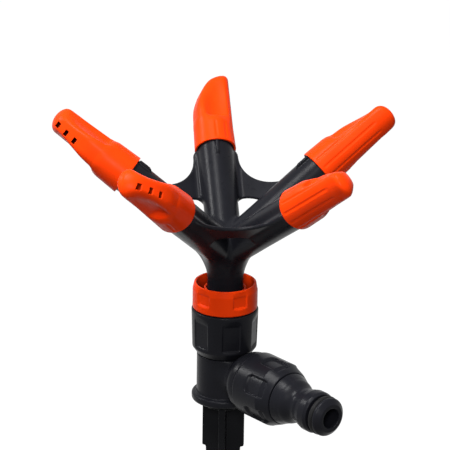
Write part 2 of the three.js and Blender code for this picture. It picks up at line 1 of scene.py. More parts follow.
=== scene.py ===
# The looks of a five-arm garden sprinkler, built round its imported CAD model.
# Shapes are worked out as signed distances in millimetres and become meshes in metres. The Z axis is
# the rotor's axis, z = 0 is the soil, and +X points out of the hose inlet, as in the CAD model.
import json
import math
import bpy
import numpy as np
from mathutils import Matrix, Vector


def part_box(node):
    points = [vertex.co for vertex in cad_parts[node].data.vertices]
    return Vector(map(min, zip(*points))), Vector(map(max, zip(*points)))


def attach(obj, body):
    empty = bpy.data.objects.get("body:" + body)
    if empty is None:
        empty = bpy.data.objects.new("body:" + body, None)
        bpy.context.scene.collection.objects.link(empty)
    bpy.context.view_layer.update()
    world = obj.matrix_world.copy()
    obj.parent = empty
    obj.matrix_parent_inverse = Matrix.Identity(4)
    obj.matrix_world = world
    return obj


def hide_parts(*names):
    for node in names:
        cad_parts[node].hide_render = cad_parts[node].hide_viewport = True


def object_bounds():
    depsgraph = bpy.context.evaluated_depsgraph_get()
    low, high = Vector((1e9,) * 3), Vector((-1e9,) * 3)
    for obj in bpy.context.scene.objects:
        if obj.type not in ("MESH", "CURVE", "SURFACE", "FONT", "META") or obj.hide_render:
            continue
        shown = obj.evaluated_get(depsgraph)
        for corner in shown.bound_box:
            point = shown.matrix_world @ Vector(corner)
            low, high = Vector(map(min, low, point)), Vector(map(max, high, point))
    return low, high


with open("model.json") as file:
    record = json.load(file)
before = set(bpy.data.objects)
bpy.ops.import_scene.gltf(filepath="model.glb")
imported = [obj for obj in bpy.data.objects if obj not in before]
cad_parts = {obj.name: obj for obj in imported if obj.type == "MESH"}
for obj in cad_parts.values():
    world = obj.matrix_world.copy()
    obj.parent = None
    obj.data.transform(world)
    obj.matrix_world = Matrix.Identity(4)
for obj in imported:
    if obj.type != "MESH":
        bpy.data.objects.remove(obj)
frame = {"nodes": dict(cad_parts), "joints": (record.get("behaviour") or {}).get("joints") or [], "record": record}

cad_bounds = [[float(value) for value in corner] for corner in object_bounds()]
MM = 0.001
TAU = 2 * math.pi
gap = 0.3  # between two pieces that fit together


# ---- places taken from the frame ---------------------------------------------------------------
def low_of(node, axis):
    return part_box(node)[0][axis] / MM


def high_of(node, axis):
    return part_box(node)[1][axis] / MM


joints = {joint["name"]: joint for joint in frame["joints"]}
arm_count = sum(name.startswith("nozzle_") for name in joints)
slots = {part["node"]: part["material_slot"] for part in frame["record"]["subparts"]}


def arm_axis(index):
    return np.array(joints[f"nozzle_{index + 1}_turn"]["axis"])


def nozzle_place(index):
    return np.array(joints[f"nozzle_{index + 1}_turn"]["pos_m"]) / MM


def nozzle_turn(index):
    low, high = joints[f"nozzle_{index + 1}_turn"]["range_deg"]
    return -math.radians(low + high) / 2


arm_tilt = math.asin(arm_axis(0)[2])
first_arm = math.atan2(arm_axis(0)[1], arm_axis(0)[0])
arm_step = TAU / arm_count
half_step = arm_step / 2
arm_reach = np.hypot(*nozzle_place(0)[:2]) / math.cos(arm_tilt)
arms_meet = nozzle_place(0)[2] - arm_reach * math.sin(arm_tilt)
web_tilt = math.atan(math.tan(arm_tilt) / math.cos(half_step))
web_half_angle = math.acos(
    math.cos(arm_tilt) * math.cos(half_step) * math.cos(web_tilt)
    + math.sin(arm_tilt) * math.sin(web_tilt)
)
branch_height = joints["union_nut_turn"]["pos_m"][2] / MM


# ---- distances: negative inside ----------------------------------------------------------------
def union(a, b, radius=0.0):
    if not radius:
        return np.minimum(a, b)
    rest = np.hypot(np.maximum(radius - a, 0), np.maximum(radius - b, 0))
    return np.maximum(radius, np.minimum(a, b)) - rest


def meet(a, b, radius=0.0):
    if not radius:
        return np.maximum(a, b)
    rest = np.hypot(np.maximum(radius + a, 0), np.maximum(radius + b, 0))
    return np.minimum(-radius, np.maximum(a, b)) + rest


def less(a, b, radius=0.0):
    return meet(a, -b, radius)


def between(value, low, high):
    return np.abs(value - (low + high) / 2) - (high - low) / 2


def rounded(corners, steps=5):
    """An outline of (u, v) or (u, v, radius) corners, with an arc at each that has a radius."""
    points = []
    for i, corner in enumerate(corners):
        here = np.array(corner[:2], float)
        radius = corner[2] if len(corner) > 2 else 0
        if not radius:
            points.append(here)
            continue
        back = np.array(corners[i - 1][:2]) - here
        ahead = np.array(corners[(i + 1) % len(corners)][:2]) - here
        room = 0.49 * min(np.linalg.norm(back), np.linalg.norm(ahead))
        back /= np.linalg.norm(back)
        ahead /= np.linalg.norm(ahead)
        half = math.acos(np.clip(back @ ahead, -1, 1)) / 2
        reach = min(radius / math.tan(half), room)
        radius = reach * math.tan(half)
        middle = back + ahead
        centre = here + middle / np.linalg.norm(middle) * radius / math.sin(half)
        start = math.atan2(*(here + back * reach - centre)[::-1])
        sweep = math.atan2(*(here + ahead * reach - centre)[::-1]) - start
        sweep = (sweep + math.pi) % TAU - math.pi
        for k in range(steps + 1):
            angle = start + sweep * k / steps
            points.append(centre + radius * np.array((math.cos(angle), math.sin(angle))))
    return np.array(points)


def inside_outline(u, v, outline):
    """Signed distance to a closed outline."""
    nearest = np.full(u.shape, np.inf)
    inside = np.zeros(u.shape, bool)
    for (au, av), (bu, bv) in zip(outline, np.roll(outline, -1, axis=0)):
        eu, ev = bu - au, bv - av
        length = eu * eu + ev * ev
        if length < 1e-12:
            continue
        pu, pv = u - au, v - av
        t = np.clip((pu * eu + pv * ev) / length, 0, 1)
        nearest = np.minimum(nearest, (pu - t * eu) ** 2 + (pv - t * ev) ** 2)
        if ev:
            inside ^= ((av > v) != (bv > v)) & (pu < pv * eu / ev)
    return np.where(inside, -1, 1) * np.sqrt(nearest)


# ---- meshes from distances ---------------------------------------------------------------------
BLOCK = 8
CHUNK = 120000
FAR = 1e3


def evaluated(distance, points):
    parts = [distance(points[i:i + CHUNK]) for i in range(0, len(points), CHUNK)]
    return np.concatenate(parts)


def slope_of(distance, points, reach):
    slope = np.empty_like(points)
    for axis in range(3):
        offset = np.zeros(3)
        offset[axis] = reach
        ahead = evaluated(distance, points + offset)
        slope[:, axis] = (ahead - evaluated(distance, points - offset)) / (2 * reach)
    return slope


def sampled_field(distance, low, high, step):
    """Distances at the nodes of a grid, worked out only near the surface."""
    blocks = np.ceil((high - low) / (step * BLOCK)).astype(int)
    size = step * BLOCK
    index = np.stack(np.meshgrid(*map(np.arange, blocks), indexing="ij"), -1).reshape(-1, 3)
    coarse = evaluated(distance, low + (index + 0.5) * size)
    near = np.abs(coarse) < 1.2 * size * math.sqrt(3) / 2 + step
    field = np.full(blocks * BLOCK + 1, FAR)
    signs = np.where(coarse > 0, FAR, -FAR).reshape(blocks)
    field[:-1, :-1, :-1] = signs.repeat(BLOCK, 0).repeat(BLOCK, 1).repeat(BLOCK, 2)
    mask = np.zeros(field.shape, bool)
    for i, j, k in index[near] * BLOCK:
        mask[i:i + BLOCK + 1, j:j + BLOCK + 1, k:k + BLOCK + 1] = True
    field[mask] = evaluated(distance, low + np.argwhere(mask) * step)
    return field


def surface_net(field):
    """Vertices, in grid units, and quads that face out, of the field's zero surface."""
    inside = field < 0
    nx, ny, nz = np.array(field.shape) - 1
    corners = np.array([(i, j, k) for i in (0, 1) for j in (0, 1) for k in (0, 1)])
    count = np.zeros((nx, ny, nz), np.int8)
    for i, j, k in corners:
        count += inside[i:i + nx, j:j + ny, k:k + nz]
    cells = np.argwhere((count > 0) & (count < 8))
    total = np.zeros((len(cells), 3))
    hits = np.zeros(len(cells))
    for a in corners:
        for axis in range(3):
            if a[axis]:
                continue
            b = a.copy()
            b[axis] = 1
            fa = field[tuple((cells + a).T)]
            fb = field[tuple((cells + b).T)]
            cross = (fa < 0) != (fb < 0)
            t = fa[cross] / (fa[cross] - fb[cross])
            total[cross] += a + t[:, None] * (b - a)
            hits += cross
    vertices = cells + total / hits[:, None]
    number = np.full((nx, ny, nz), -1, np.int64)
    number[tuple(cells.T)] = np.arange(len(cells))
    quads = []
    for axis in range(3):
        u, v = (axis + 1) % 3, (axis + 2) % 3
        here = [slice(None)] * 3
        ahead = [slice(None)] * 3
        here[axis], ahead[axis] = slice(0, -1), slice(1, None)
        for other in (u, v):
            here[other] = ahead[other] = slice(1, -1)
        start = inside[tuple(here)]
        crossing = np.argwhere(start != inside[tuple(ahead)])
        out = start[tuple(crossing.T)]
        crossing[:, u] += 1
        crossing[:, v] += 1
        ring = []
        for du, dv in ((1, 1), (0, 1), (0, 0), (1, 0)):
            cell = crossing.copy()
            cell[:, u] -= du
            cell[:, v] -= dv
            ring.append(number[tuple(cell.T)])
        quad = np.stack(ring, 1)
        quad[~out] = quad[~out][:, ::-1]
        quads.append(quad)
    return vertices, np.concatenate(quads)


def mesh_from(name, vertices, faces, normals):
    """A smooth mesh from vertices in millimetres, faces of equal size, and vertex normals."""
    corners = faces.shape[1]
    mesh = bpy.data.meshes.new(name)
    mesh.vertices.add(len(vertices))
    mesh.vertices.foreach_set("co", (vertices * MM).ravel())
    mesh.loops.add(faces.size)
    mesh.loops.foreach_set("vertex_index", faces.astype(np.int32).ravel())
    mesh.polygons.add(len(faces))
    mesh.polygons.foreach_set("loop_start", np.arange(0, faces.size, corners, dtype=np.int32))
    mesh.polygons.foreach_set("use_smooth", np.ones(len(faces), bool))
    mesh.update(calc_edges=True)
    mesh.validate()
    mesh.normals_split_custom_set_from_vertices(normals.tolist())
    return mesh


def shape_of(distance, low, high, step):
    """Vertices, quads and normals of a distance's zero surface in a box, drawn onto the surface."""
    low, high = np.array(low, float) - 2 * step, np.array(high, float) + 2 * step
    vertices, quads = surface_net(sampled_field(distance, low, high, step))
    vertices = low + vertices * step
    for _ in range(2):
        slope = slope_of(distance, vertices, step / 10)
        square = np.maximum((slope * slope).sum(1), 0.25)
        move = (evaluated(distance, vertices) / square)[:, None] * slope
        length = np.linalg.norm(move, axis=1, keepdims=True)
        vertices -= move * np.minimum(1, 0.7 * step / np.maximum(length, 1e-9))
    slope = slope_of(distance, vertices, step / 4)
    normals = slope / np.maximum(np.linalg.norm(slope, axis=1, keepdims=True), 1e-9)
    return vertices, quads, normals


def turned(outline, height, facets=128):
    """A closed outline of (radius, distance along X) points turned about X at a height."""
    outline = np.array(outline, float)
    edges = np.roll(outline, -1, axis=0) - outline
    sides = np.stack((edges[:, 1], -edges[:, 0]), 1)
    sides /= np.maximum(np.linalg.norm(sides, axis=1, keepdims=True), 1e-9)
    normal = sides + np.roll(sides, 1, axis=0)
    normal /= np.maximum(np.linalg.norm(normal, axis=1, keepdims=True), 1e-9)
    angle = np.arange(facets) * TAU / facets
    across = np.stack((np.zeros(facets), np.cos(angle), np.sin(angle)), 1)
    along = np.array((1.0, 0, 0))
    vertices = outline[:, 0, None, None] * across + outline[:, 1, None, None] * along
    normals = normal[:, 0, None, None] * across + normal[:, 1, None, None] * along
    count = len(outline)
    i, j = np.meshgrid(np.arange(count), np.arange(facets), indexing="ij")
    i2, j2 = (i + 1) % count, (j + 1) % facets
    faces = np.stack([a * facets + b for a, b in ((i, j), (i, j2), (i2, j2), (i2, j))], -1)
    vertices = vertices.reshape(-1, 3) + np.array((0, 0, height))
    return vertices, faces.reshape(-1, 4), normals.reshape(-1, 3)


def placed(cad_node, shape, body, painted_shade=None):
    """A piece that stands for a CAD node and rides on a body. The optional last argument says how far each vertex
    lies down a hole, from 0 to 1; the finish darkens the colour by it as painted shade."""
    name = f"{cad_node}_surface"
    slot = slots[cad_node]
    mesh = mesh_from(name, *shape)
    if painted_shade is not None:
        mesh.attributes.new("painted_shade", "FLOAT", "POINT").data.foreach_set("value", painted_shade)
    mesh.materials.append(finishes[slot])
    piece = bpy.data.objects.new(name, mesh)
    bpy.context.scene.collection.objects.link(piece)
    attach(piece, body)
    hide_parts(cad_node)


# ---- materials ---------------------------------------------------------------------------------
def principled(name, **sockets):
    material = bpy.data.materials.new(name)
    material.use_nodes = True
    shader = material.node_tree.nodes["Principled BSDF"]
    for socket, value in sockets.items():
        shader.inputs[socket.replace("_", " ")].default_value = value
    return material, shader


def node(tree, kind, **settings):
    made = tree.nodes.new(kind)
    for key, value in settings.items():
        setattr(made, key, value)
    return made


def noise(tree, scale, detail=3, roughness=0.55):
    """Noise in the object's own millimetres."""
    place = node(tree, "ShaderNodeTexCoord")
    made = node(tree, "ShaderNodeTexNoise")
    made.inputs["Scale"].default_value = scale / MM
    made.inputs["Detail"].default_value = detail
    made.inputs["Roughness"].default_value = roughness
    tree.links.new(place.outputs["Object"], made.inputs["Vector"])
    return made


def ramp(tree, source, low, high, start=0.3, end=0.7):
    """Noise spread between two values or two colours."""
    spread = node(tree, "ShaderNodeMapRange")
    spread.inputs["From Min"].default_value = start
    spread.inputs["From Max"].default_value = end
    tree.links.new(source.outputs["Fac"], spread.inputs["Value"])
    if isinstance(low, tuple):
        mix = node(tree, "ShaderNodeMix", data_type="RGBA")
        tree.links.new(spread.outputs["Result"], mix.inputs["Factor"])
        mix.inputs["A"].default_value = (*low, 1)
        mix.inputs["B"].default_value = (*high, 1)
        return mix.outputs["Result"]
    spread.inputs["To Min"].default_value = low
    spread.inputs["To Max"].default_value = high
    return spread.outputs["Result"]


def with_painted_shade(tree, colour, deep):
    """A colour with painted shade: it darkens to `deep` down the holes, where a mesh has the attribute for it."""
    painted_shade = node(tree, "ShaderNodeAttribute", attribute_name="painted_shade")
    mix = node(tree, "ShaderNodeMix", data_type="RGBA")
    tree.links.new(painted_shade.outputs["Fac"], mix.inputs["Factor"])
    tree.links.new(colour, mix.inputs["A"])
    mix.inputs["B"].default_value = (*deep, 1)
    return mix.outputs["Result"]


# Painted shade: the share of the low colour that is left down the holes.
painted_shade_level = 0.2
cloud_scale = 0.09
gloss_scale = 0.35
grain_strength = 0.35


def moulded(name, low, high, smooth, rough, grain, height, **sockets):
    """Moulded plastic: two near colours in broad clouds, painted shade down the holes, uneven gloss and a fine
    spark-eroded grain whose scale is per millimetre and whose height is in millimetres."""
    material, shader = principled(name, **sockets)
    tree = material.node_tree
    clouds = noise(tree, cloud_scale)
    gloss = noise(tree, gloss_scale)
    spark = noise(tree, grain, 2)
    # Painted shade: the colour down the holes is the low colour darkened.
    deep = tuple(value * painted_shade_level for value in low)
    colour = with_painted_shade(tree, ramp(tree, clouds, low, high), deep)
    tree.links.new(colour, shader.inputs["Base Color"])
    tree.links.new(ramp(tree, gloss, smooth, rough), shader.inputs["Roughness"])
    bump = node(tree, "ShaderNodeBump")
    bump.inputs["Strength"].default_value = grain_strength
    bump.inputs["Distance"].default_value = height * MM
    tree.links.new(spark.outputs["Fac"], bump.inputs["Height"])
    tree.links.new(bump.outputs["Normal"], shader.inputs["Normal"])
    return material


def brushed_steel(name):
    material, shader = principled(name, Metallic=1.0)
    tree = material.node_tree
    scratches = noise(tree, 2.5, 4)
    colour = ramp(tree, scratches, (0.5, 0.5, 0.51), (0.62, 0.62, 0.63))
    tree.links.new(colour, shader.inputs["Base Color"])
    tree.links.new(ramp(tree, scratches, 0.25, 0.4), shader.inputs["Roughness"])
    return material


finishes = {
    "black_plastic": moulded(
        "black_plastic", (0.0075, 0.0077, 0.0102), (0.0095, 0.0098, 0.0128), 0.26, 0.34, 1.6, 0.012,
        Specular_IOR_Level=0.06,
    ),
    "stake_plastic": moulded(
        "stake_plastic", (0.0075, 0.0077, 0.0088), (0.0092, 0.0095, 0.0108), 0.3, 0.4, 1.6, 0.02,
        Specular_IOR_Level=0.035,
    ),
    "orange_plastic": moulded(
        "orange_plastic", (0.88, 0.046, 0.0025), (0.92, 0.052, 0.0035), 0.3, 0.38, 1.2, 0.003,
        Specular_IOR_Level=0.04,
    ),
    "seal_rubber": moulded(
        "seal_rubber", (0.006, 0.006, 0.0065), (0.009, 0.009, 0.0095), 0.5, 0.65, 2.2, 0.02,
        Specular_IOR_Level=0.1,
    ),
    "white_acetal": moulded(
        "white_acetal", (0.74, 0.72, 0.66), (0.8, 0.78, 0.72), 0.32, 0.42, 1.4, 0.01,
    ),
    "spring_steel": brushed_steel("spring_steel"),
}


# ---- grip pockets ------------------------------------------------------------------------------
pocket_edge = 0.5
union_pocket_edge = 0.7
pocket_fillet = 0.3


def panel_pocket(around, away, along, panel, surface_at):
    """Rounded rectangular pockets round a nut, each rising to the surface at both ends. `around` is
    the angle, `away` the distance from the axis, and `surface_at` the nut's own radius there. A
    panel's `curve` is 0 where the pocket's floor is flat and 1 where it follows the nut."""
    step = TAU / panel["count"]
    turn = (around - math.radians(panel["turn"]) + step / 2) % step - step / 2
    side = np.abs(away * np.sin(turn)) - panel["width"] / 2
    end = between(along, panel["start"], panel["end"])
    frame_distance = meet(side, end, panel["corner"])
    rise = np.minimum((along - panel["start"]) / panel["ramp"], (panel["end"] - along) / panel["fade"])
    depth = panel["depth"] * np.clip(rise, 0, 1)
    flat = away * np.cos(turn)
    return meet(frame_distance, surface_at - depth - flat - panel["curve"] * (away - flat), pocket_fillet)


# ---- rotor -------------------------------------------------------------------------------------
arm_radius = 7.1
arm_end_radius = 7.4
arm_flare_start = 18
skirt_fit = 3
spigot_radius = 6
spigot_length = 9
neck_radius = 7.3
neck_fillet = 6.3
hub_radius = 7.2
spindle_fit = high_of("rotor_spindle", 0) + gap
neck_foot = low_of("rotor_manifold", 2)
web_drop = 3.85
web_thickness = 1.6
web_arc = 18.3
web_middle = 36.8
hole_rim = 3.5
hole_reach = 28.2
hole_corner = 1.8
hole_arc = 16.4
web_fillet = 3.0
arm_fillet = 2.0
index_rib = {"width": 1.3, "height": 1.2, "length": 6.8, "setback": 0.3, "rounding": 2.5, "edge": 0.4}
arm_edge = 0.5
web_overlap = 1.0
web_setback = 0.3
web_corner = 2.0
web_edge = 0.7
socket_top = 14
socket_edge = 0.3


def arm_distance(out, side, up):
    """One arm, rising from the meeting point along `out`."""
    along = out * math.cos(arm_tilt) + up * math.sin(arm_tilt)
    normal = up * math.cos(arm_tilt) - out * math.sin(arm_tilt)
    away = np.hypot(side, normal)
    t = np.clip((along - arm_flare_start) / (arm_reach - arm_flare_start), 0, 1)
    radius = arm_radius + (arm_end_radius - arm_radius) * t * t
    shoulder = arm_reach + skirt_fit
    tube = meet(away - radius, along - shoulder, arm_edge)
    spigot = meet(away - spigot_radius, along - shoulder - spigot_length, arm_edge)
    rib_roof = normal - (arm_end_radius + index_rib["height"])
    rib_end = arm_reach - index_rib["setback"]
    rib_start = rib_end - index_rib["length"] - along
    rib = meet(meet(rib_start, rib_roof, index_rib["rounding"]), np.maximum(along - rib_end, -normal))
    rib = meet(rib, np.abs(side) - index_rib["width"] / 2, index_rib["edge"])
    shape = union(union(tube, spigot), rib, arm_edge)
    return np.where(along < 0, np.maximum(shape, np.hypot(along, away) - radius), shape)


def hole_distance(along, side):
    """The web's hole in its plane: two straight sides, an arc, and round corners."""
    apex = (hole_rim + hole_corner) / math.sin(web_half_angle)
    x = along - apex
    down = x * math.cos(web_half_angle) + side * math.sin(web_half_angle)
    beside = x * math.sin(web_half_angle) - side * math.cos(web_half_angle)
    sides = np.where(down < 0, np.hypot(x, side), -beside) - hole_corner
    outer = np.hypot(along - hole_reach + hole_arc, side) - hole_arc
    return meet(sides, outer, hole_corner)


def web_distance(along, side, normal):
    beside = along * math.sin(web_half_angle) - side * math.cos(web_half_angle)
    down = along * math.cos(web_half_angle) + side * math.sin(web_half_angle)
    bite = web_arc - np.hypot(along - web_middle - web_arc, side)
    plate = meet(np.maximum(web_overlap - beside, down - arm_reach + web_setback), bite, web_corner)
    plate = np.maximum(plate, -hole_distance(along, side))
    thick = np.abs(normal + web_drop + web_thickness / 2) - web_thickness / 2
    return meet(plate, thick, web_edge)


def rotor_distance(p):
    x, y, up = p[:, 0], p[:, 1], p[:, 2] - arms_meet
    away = np.hypot(x, y)
    fold = np.abs((np.arctan2(y, x) - first_arm + half_step) % arm_step - half_step)
    arm = arm_distance(away * np.cos(fold), away * np.sin(fold), up)
    beyond = arm_step - fold
    other = arm_distance(away * np.cos(beyond), away * np.sin(beyond), up)
    middle = half_step - fold
    out, side = away * np.cos(middle), away * np.sin(middle)
    along = out * math.cos(web_tilt) + up * math.sin(web_tilt)
    normal = up * math.cos(web_tilt) - out * math.sin(web_tilt)
    web = web_distance(along, side, normal)
    neck = meet(away - neck_radius, np.maximum(neck_foot - arms_meet - up, up), arm_edge)
    hub = np.sqrt(away ** 2 + up ** 2) - hub_radius
    arms = union(union(arm, other, arm_fillet), hub, arm_fillet)
    body = union(union(neck, arms, neck_fillet), web, web_fillet)
    socket = meet(away - spindle_fit, up + socket_top)
    return less(body, socket, socket_edge)


# ---- nozzles: X runs along the arm from the cap's rim, Y is towards the blade's crest ------------
rim_radius = 8.6
collar_radius = 8.25
collar_length = 10.3
collar_end = 13.2
collar_end_radius = 7.2
nozzle_length = 39
crest_start = 16.5
crest_level = 7.7
tip_level = -5
crest_power = 1.56
back_level = 9.8
tip_radius = 6
blade_half_width = 7.2
blade_tip_half_width = 5.8
blade_start = 9
blade_edge = 4.4
scoop = {"along": 17, "across": 4.2, "deep": 2.8, "middle": 22.8, "level": 1.1, "floor": 4.4}
scoop_edge = 3
shoulder_radius = 2
channel_radius = 2.6
channel_level = -3.4
channel_start = 10
channel_end = 35.3
slot_places = [34.5 - 4.5 * i for i in range(3)]
slot_size = {"along": 1.5, "across": 2.5}
slot_offset = -1.3
slot_corner = 0.15
cap_skin_edge = 1.0
cap_rim_edge = 0.3
opening_edge = 0.2
flute_half_width = 0.85
flute_depth = 0.28
flute_start = 1
flute_runout = 2
flute_skin = 2
flutes = {75: collar_length, 105: collar_length, 135: 30, 165: 30}  # degrees from the crest: end


def blade_side():
    points = [(blade_start, collar_radius), (blade_start, -back_level)]
    for i in range(11):
        angle = (i / 10 - 1) * math.pi / 2
        x = nozzle_length - tip_radius + tip_radius * math.cos(angle)
        points.append((x, tip_level + (back_level + tip_level) * math.sin(angle)))
    for i in range(1, 25):
        t = math.cos(i / 24 * math.pi / 2)
        rise = (1 - t ** crest_power) ** (1 / crest_power)
        x = crest_start + (nozzle_length - crest_start) * t
        points.append((x, tip_level + (crest_level - tip_level) * rise))
    return np.array(points)


def blade_top():
    centre = nozzle_length - blade_tip_half_width
    points = [(blade_start, blade_half_width), (blade_start, -blade_half_width)]
    for i in range(25):
        angle = (i / 24 - 0.5) * math.pi
        x = centre + blade_tip_half_width * math.cos(angle)
        points.append((x, blade_tip_half_width * math.sin(angle)))
    return np.array(points)


side_outline = blade_side()
top_outline = blade_top()
skirt_radius = arm_end_radius + gap
collar_outline = rounded([
    (-5, -1), (-5, 12), (collar_length, 12), (collar_length, collar_radius + 0.8, 1),
    (collar_end, collar_end_radius, 0.8), (collar_end, -1),
])
spigot_seat = {"start": 3.3, "end": 12.3, "radius": 6.45}
waterway_outline = rounded([
    (-2, -1), (-2, skirt_radius), (spigot_seat["start"], skirt_radius),
    (spigot_seat["start"], spigot_seat["radius"]), (spigot_seat["end"], spigot_seat["radius"]),
    (spigot_seat["end"], -1),
])


def cap_distance(x, y, z):
    """A cap without the water's way through it."""
    away = np.hypot(y, z)
    blade = meet(inside_outline(x, y, side_outline), inside_outline(x, z, top_outline), blade_edge)
    sizes = (scoop["along"], scoop["across"], scoop["deep"])
    centre = (scoop["middle"], scoop["level"], scoop["floor"] + scoop["deep"])
    near = [(value - c) / s for value, c, s in zip((x, y, z), centre, sizes)]
    k = np.sqrt(sum(value ** 2 for value in near))
    bend = np.sqrt(sum((value / s) ** 2 for value, s in zip(near, sizes)))
    hollow = k * (k - 1) / np.maximum(bend, 1e-6)
    outer = rim_radius + (collar_radius - rim_radius) * np.clip(x / collar_length, 0, 1)
    collar = inside_outline(x, away, collar_outline)
    body = union(less(blade, hollow, scoop_edge), collar, shoulder_radius)
    body = meet(meet(body, away - outer, cap_skin_edge), -x, cap_rim_edge)
    skin = np.clip((away - outer) / flute_skin + 1, 0, 1)
    for angle, end in flutes.items():
        cosine, sine = math.cos(math.radians(angle)), math.sin(math.radians(angle))
        beside = (y * sine - z * cosine) / flute_half_width
        groove = np.clip(1 - beside ** 2, 0, 1) ** 2 * (y * cosine + z * sine > 0) * skin
        groove = groove * np.clip(x - flute_start, 0, 1) * np.clip((end - x) / flute_runout, 0, 1)
        body = body + flute_depth * groove
    return body


def nozzle_distance(p):
    x, y, z = p[:, 0], p[:, 1], p[:, 2]
    away = np.hypot(y, z)
    slot_side = np.abs(z - slot_offset) - slot_size["across"] / 2
    channel = meet(np.hypot(y - channel_level, z) - channel_radius, between(x, channel_start, channel_end))
    opening = union(channel, inside_outline(x, away, waterway_outline))
    for place in slot_places:
        slot = meet(np.abs(x - place) - slot_size["along"] / 2, slot_side, slot_corner)
        opening = union(opening, meet(slot, channel_level - y))
    return less(cap_distance(x, y, np.abs(z)), opening, opening_edge)


# Painted shade in the caps: where it starts and how fast it deepens, in millimetres under the skin.
slot_painted_shade = {"start": 0.12, "spread": 0.2}
rim_painted_shade = {"start": 0.3, "spread": 0.9}


def painted_shade_in_cap(p):
    """Painted shade in a cap: full in the slots just under the skin, and deeper down at the rim, where light still
    comes in.
    """
    x, y, z = p[:, 0], p[:, 1], p[:, 2]
    depth = -cap_distance(x, y, np.abs(z))
    in_slots = (x > slot_places[-1] - 1) & (y > channel_level)
    start = np.where(in_slots, slot_painted_shade["start"], rim_painted_shade["start"])
    spread = np.where(in_slots, slot_painted_shade["spread"], rim_painted_shade["spread"])
    return np.clip((depth - start) / spread, 0, 1)


# ---- tee ---------------------------------------------------------------------------------------
foot_height = low_of("tee_body", 2)
foot_radius = 13.25
foot_thickness = 3.3
tube_radius = 11.25
neck_thread_radius = 9.9
thread_foot = low_of("coupling_nut", 2) - gap
tee_top = high_of("tee_body", 2)
stub_end = high_of("tee_body", 0)
branch_length = low_of("union_nut", 0) - gap
branch_neck_radius = 8.2
branch_radius = 12.4
branch_rim = 2
branch_bore = 5.5
branch_thread_radius = 10.4
branch_thread_pitch = 1.81
branch_thread_depth = 0.9
branch_fillet = 2.0
chamber = {"radius": 6.5, "floor": 30}
foot_socket = {"radius": 8.3, "top": 27.4}
nut_clearance = 14
tee_edge = 0.2
opening_rim = 0.3
tube_outline = rounded([
    (-1, foot_height), (foot_radius, foot_height, 1.1), (foot_radius, foot_height + foot_thickness, 1.1),
    (tube_radius, foot_height + foot_thickness, 0.6), (tube_radius, thread_foot, 0.4),
    (neck_thread_radius, thread_foot), (neck_thread_radius, tee_top, 0.4), (-1, tee_top),
])


def flare_outline():
    start, end = tube_radius, branch_length - branch_rim
    points = [(0, -1), (0, branch_neck_radius)]
    for i in range(9):
        t = i / 8
        swell = math.sin(t * math.pi / 2)
        radius = branch_neck_radius + (branch_radius - branch_neck_radius) * swell
        points.append((start + (end - start) * t, radius))
    return rounded(points + [(branch_length, branch_radius, 0.5), (branch_length, -1)])


branch_outline = flare_outline()


def tee_distance(p):
    x, y, z = p[:, 0], p[:, 1], p[:, 2]
    rise = z - branch_height
    away = np.hypot(y, rise)
    tube = inside_outline(np.hypot(x, y), z, tube_outline)
    body = union(tube, inside_outline(x, away, branch_outline), branch_fillet)
    phase = (x / branch_thread_pitch - np.arctan2(rise, y) / TAU) % 1
    ridge = branch_thread_depth * np.clip(2 * np.abs(2 * phase - 1) - 0.5, 0, 1)
    stub = meet(away - branch_thread_radius + ridge, between(x, branch_length - 1, stub_end), opening_rim)
    body = union(body, stub, tee_edge)
    out = np.hypot(x, y)
    round_neck = meet(out - coupling_radius - gap, between(z, thread_foot, branch_height + nut_clearance))
    round_neck = less(round_neck, out - neck_thread_radius)
    bore = meet(away - branch_bore, -x)
    water = union(bore, meet(out - chamber["radius"], chamber["floor"] - z))
    inside = union(water, meet(out - foot_socket["radius"], z - foot_socket["top"]))
    return less(less(body, round_neck, tee_edge), inside, opening_rim)


# ---- coupling nut, retaining ring, union nut ------------------------------------------------------
coupling_foot = low_of("coupling_nut", 2)
coupling_top = high_of("coupling_nut", 2)
coupling_radius = 13.65
coupling_low_radius = 13.2
coupling_bevel = 2.9
coupling_foot_radius = 11.2
cup_radius = 11.2
coupling_web = (tee_top + 2.6, tee_top + 6.0)
bush_bore = 7.55
coupling_outline = rounded([
    (neck_thread_radius + gap, coupling_foot), (coupling_foot_radius, coupling_foot, 0.4),
    (coupling_low_radius, coupling_foot + coupling_bevel, 0.7), (coupling_radius, coupling_top, 0.7),
    (cup_radius, coupling_top, 0.3), (cup_radius, coupling_web[1]), (bush_bore, coupling_web[1]),
    (bush_bore, coupling_web[0]), (neck_thread_radius + gap, coupling_web[0]),
])
coupling_panel = {
    "count": 6, "width": 7.2, "depth": 0.85, "turn": 32.5, "corner": 1.2, "ramp": 1.0, "fade": 2.5,
    "curve": 0,
    "start": coupling_foot + 3.6, "end": coupling_top - 2,
}


def coupling_distance(p):
    away, z = np.hypot(p[:, 0], p[:, 1]), p[:, 2]
    around = np.arctan2(p[:, 1], p[:, 0])
    rise = (z - coupling_foot) / (coupling_top - coupling_foot)
    surface = coupling_low_radius + (coupling_radius - coupling_low_radius) * rise
    pocket = panel_pocket(around, away, z, coupling_panel, surface)
    return less(inside_outline(away, z, coupling_outline), pocket, pocket_edge)


